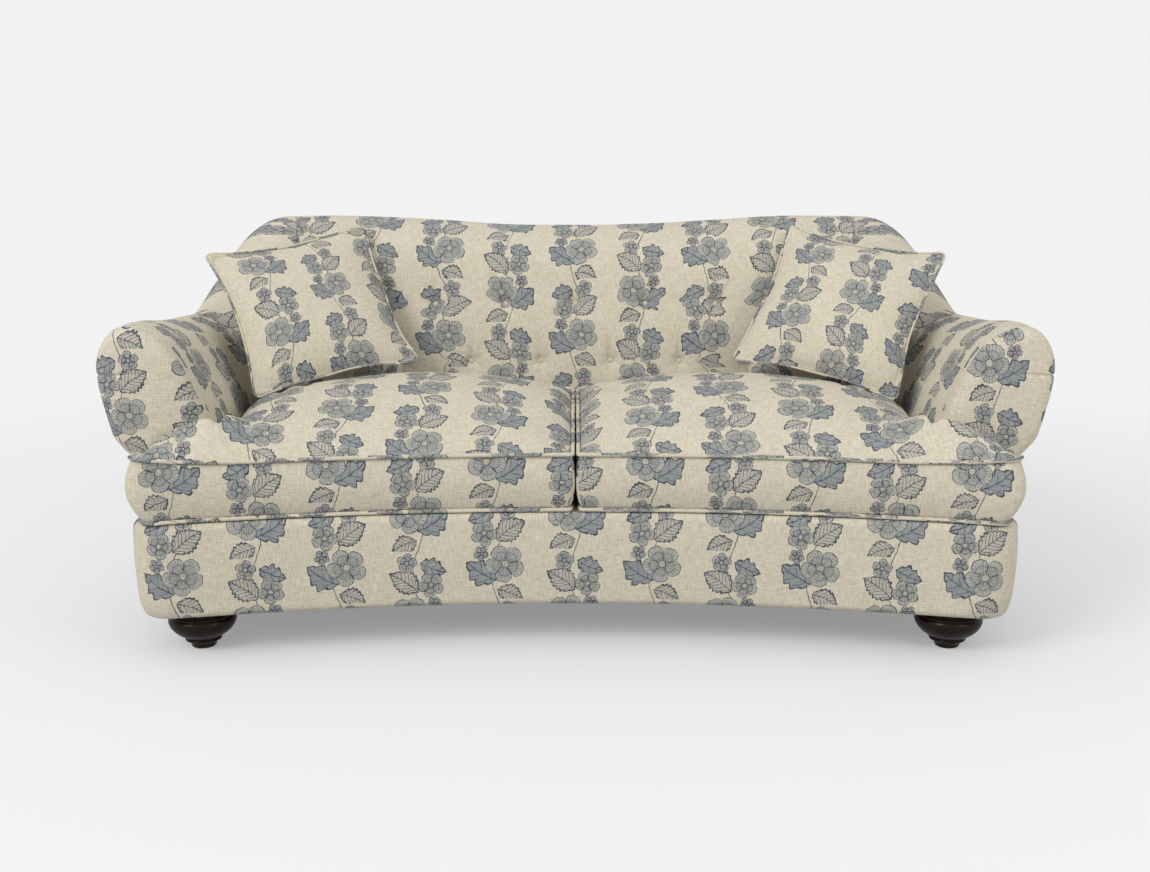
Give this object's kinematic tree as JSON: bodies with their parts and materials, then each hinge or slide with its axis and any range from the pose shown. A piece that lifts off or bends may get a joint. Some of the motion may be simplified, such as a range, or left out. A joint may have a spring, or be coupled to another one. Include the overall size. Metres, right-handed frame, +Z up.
{
  "type": "three-seater sofa",
  "caption": "Crescent sofa with a bowed buttoned back that sweeps down into rolled arms, eared seat cushions with piped edges, square scatter cushions and turned bun feet.",
  "frame": {"origin": "on the floor, at the middle of the box's width and depth", "axes": "+X to the sitter's left, which is the right of the front view, +Y from the front to the back, +Z up"},
  "size_m": [2.07, 1.0219, 0.903],
  "materials": {
    "printed_linen": "natural linen with a slubbed weave and a blue-grey botanical print",
    "piping_linen": "the same natural linen, cut as self piping",
    "deck_cloth": "plain natural linen platform cloth",
    "dust_cloth": "thin black non-woven cloth",
    "webbing": "jute webbing",
    "foam": "open-cell foam",
    "filling": "fibre and feather filling in a cotton case",
    "stained_wood": "dark espresso stain under gloss lacquer",
    "frame_wood": "planed, unfinished beech",
    "dowel_wood": "fluted beech dowels",
    "spring_wire": "oil-tempered spring wire",
    "zinc_steel": "bright zinc-plated steel",
    "zip_tape": "woven polyester zip tape",
    "zip_metal": "die-cast slider with an aged brass finish"
  },
  "bodies": {
    "frame": {"front_rail": "frame_wood", "back_rail": "frame_wood", "side_rail_left": "frame_wood", "side_rail_right": "frame_wood", "corner_rail_left": "frame_wood", "corner_rail_right": "frame_wood", "front_corner_blocks": "frame_wood", "rear_corner_blocks": "frame_wood", "seat_stretchers": "frame_wood", "frame_dowels": "dowel_wood", "arm_post_left": "frame_wood", "arm_post_right": "frame_wood", "arm_rear_posts": "frame_wood", "arm_top_rail_left": "frame_wood", "arm_top_rail_right": "frame_wood", "arm_tack_rails": "frame_wood", "sweep_rail_left": "frame_wood", "sweep_rail_right": "frame_wood", "back_end_posts": "frame_wood", "back_middle_posts": "frame_wood", "back_top_rail": "frame_wood", "back_tack_rail": "frame_wood", "seat_springs": "spring_wire", "spring_clips": "zinc_steel", "back_webbing": "webbing", "seat_deck": "deck_cloth", "dust_cover": "dust_cloth", "front_border": "printed_linen", "arm_left": "printed_linen", "arm_right": "printed_linen", "arm_facing_left": "printed_linen", "arm_facing_right": "printed_linen", "back_pad": "printed_linen", "back_buttons": "printed_linen", "foot_front_left": "stained_wood", "foot_front_right": "stained_wood", "foot_rear_left": "stained_wood", "foot_rear_right": "stained_wood", "foot_bolts": "zinc_steel", "foot_plates": "zinc_steel"},
    "seat_cushion_left": {"seat_cover_left": "printed_linen", "seat_core_left": "foam", "seat_piping_left": "piping_linen", "zip_tape_left": "zip_tape"},
    "zip_left": {"zip_slider_left": "zip_metal"},
    "scatter_cushion_left": {"scatter_cover_left": "printed_linen", "scatter_filling_left": "filling", "scatter_piping_left": "piping_linen"},
    "seat_cushion_right": {"seat_cover_right": "printed_linen", "seat_core_right": "foam", "seat_piping_right": "piping_linen", "zip_tape_right": "zip_tape"},
    "zip_right": {"zip_slider_right": "zip_metal"},
    "scatter_cushion_right": {"scatter_cover_right": "printed_linen", "scatter_filling_right": "filling", "scatter_piping_right": "piping_linen"}
  },
  "joints": [
    {"name": "seat_lift_left", "type": "slide", "parent": "frame", "child": "seat_cushion_left", "axis": [0, 0, 1], "range_m": [0, 0.4]},
    {"name": "seat_lift_right", "type": "slide", "parent": "frame", "child": "seat_cushion_right", "axis": [0, 0, 1], "range_m": [0, 0.4]},
    {"name": "scatter_lift_left", "type": "slide", "parent": "seat_cushion_left", "child": "scatter_cushion_left", "axis": [0.1999, -0.5998, 0.7748], "range_m": [0, 0.45]},
    {"name": "scatter_lift_right", "type": "slide", "parent": "seat_cushion_right", "child": "scatter_cushion_right", "axis": [-0.1999, -0.5998, 0.7748], "range_m": [0, 0.45]},
    {"name": "zip_run_left", "type": "hinge", "parent": "seat_cushion_left", "child": "zip_left", "pos_m": [0, -3.46674, 0.3725], "axis": [0, 0, 1], "range_deg": [0, 8.62]},
    {"name": "zip_run_right", "type": "hinge", "parent": "seat_cushion_right", "child": "zip_right", "pos_m": [0, -3.46674, 0.3725], "axis": [0, 0, -1], "range_deg": [0, 8.62]}
  ]
}
